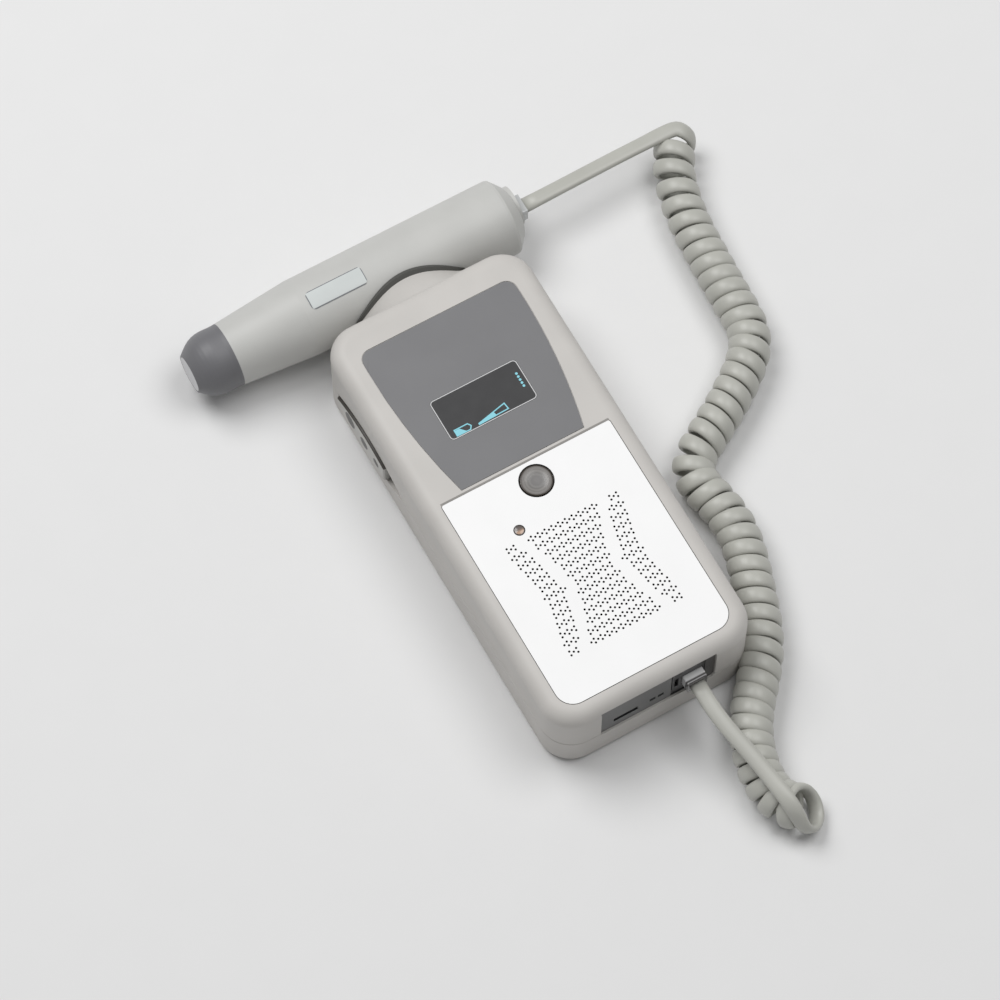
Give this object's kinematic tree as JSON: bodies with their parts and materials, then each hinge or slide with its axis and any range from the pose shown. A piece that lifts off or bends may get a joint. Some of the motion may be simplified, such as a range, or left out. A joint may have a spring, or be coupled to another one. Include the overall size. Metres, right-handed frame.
{
  "type": "fetal doppler monitor",
  "caption": "Hand-held fetal doppler unit with a display, a speaker grille and side rocker; its round probe rests in the top cradle on a curly cord.",
  "frame": {"origin": "centre of the unit's flat rear face", "axes": "+X towards the cord's side, +Y towards the probe's end, +Z out of the front face"},
  "size_m": [0.2015, 0.2715, 0.0367],
  "materials": {
    "case": "light warm grey, fine satin",
    "liner": "dark soft liner",
    "overlay": "grey printed film",
    "smoked_window": "smoked window",
    "display": "display glass",
    "frame_plastic": "black moulding",
    "flat_cable": "amber flat cable",
    "plate": "white satin plate",
    "foam": "foam",
    "cone": "coated paper cone",
    "steel": "plated steel",
    "button": "dark grey, slightly translucent",
    "switch": "tact switch",
    "amber": "tinted light guide",
    "circuit": "circuit board",
    "chip": "chip packages",
    "rocker": "light grey rocker",
    "mark": "dark inlaid dots",
    "panel": "dark grey panel",
    "socket": "black socket",
    "contact": "gold-plated contacts",
    "cell": "wrapped cells",
    "probe": "light grey probe",
    "nose": "mid grey nose",
    "face": "pale acoustic face",
    "label": "bare label",
    "seal": "seal ring",
    "ceramic": "ceramic discs",
    "backing": "damping block",
    "clear_plug": "clear moulding",
    "cable": "light grey cable"
  },
  "bodies": {
    "main_unit": {"front_shell": "case", "rear_shell": "case", "front_cradle_liner": "liner", "rear_cradle_liner": "liner", "display_overlay": "overlay", "display_lens": "smoked_window", "display_module": "display", "display_frame": "frame_plastic", "button_guide": "frame_plastic", "rocker_bracket": "frame_plastic", "battery_tray": "frame_plastic", "speaker_frame": "frame_plastic", "display_ribbon": "flat_cable", "speaker_plate": "plate", "speaker_gasket": "foam", "speaker_cone": "cone", "speaker_magnet": "steel", "rocker_pin": "steel", "charging_port": "steel", "case_screws": "steel", "board_screws": "steel", "battery_springs": "steel", "battery_contacts": "steel", "power_switch": "switch", "volume_switches": "switch", "light_pipe": "amber", "indicator_led": "amber", "charge_lights": "amber", "main_board": "circuit", "board_chips": "chip", "end_panel": "panel", "unit_jack": "socket", "unit_jack_contacts": "contact", "unit_plug_contacts": "contact", "battery_cells": "cell", "unit_plug": "clear_plug", "probe_lead": "cable", "cord_coil": "cable", "unit_lead": "cable"},
    "power_button": {"power_button": "button"},
    "volume_rocker": {"volume_rocker": "rocker", "rocker_marks": "mark"},
    "battery_door": {"battery_door": "case"},
    "probe": {"probe_body": "probe", "probe_nose": "nose", "probe_face": "face", "probe_seal": "seal", "probe_label": "label", "probe_crystals": "ceramic", "probe_backing": "backing", "probe_circuit": "circuit", "probe_jack": "socket", "probe_jack_contacts": "contact", "probe_plug": "clear_plug", "probe_plug_contacts": "contact"}
  },
  "joints": [
    {"name": "power_button_press", "type": "slide", "parent": "main_unit", "child": "power_button", "axis": [0, 0, -1], "range_m": [0, 0.0006], "stiffness_N_per_m": 1500},
    {"name": "volume_rocker_tilt", "type": "hinge", "parent": "main_unit", "child": "volume_rocker", "pos_m": [-0.0326, 0.04715, 0.0155], "axis": [0, 0, 1], "range_deg": [-2.5, 2.5], "stiffness_Nm_per_rad": 0.3},
    {"name": "battery_door_slide", "type": "slide", "parent": "main_unit", "child": "battery_door", "axis": [0, -1, 0], "range_m": [0, 0.011]},
    {"name": "probe_lift_out", "type": "slide", "parent": "main_unit", "child": "probe", "axis": [0, 1, 0], "range_m": [0, 0.012], "deforming": ["probe_lead"]}
  ]
}
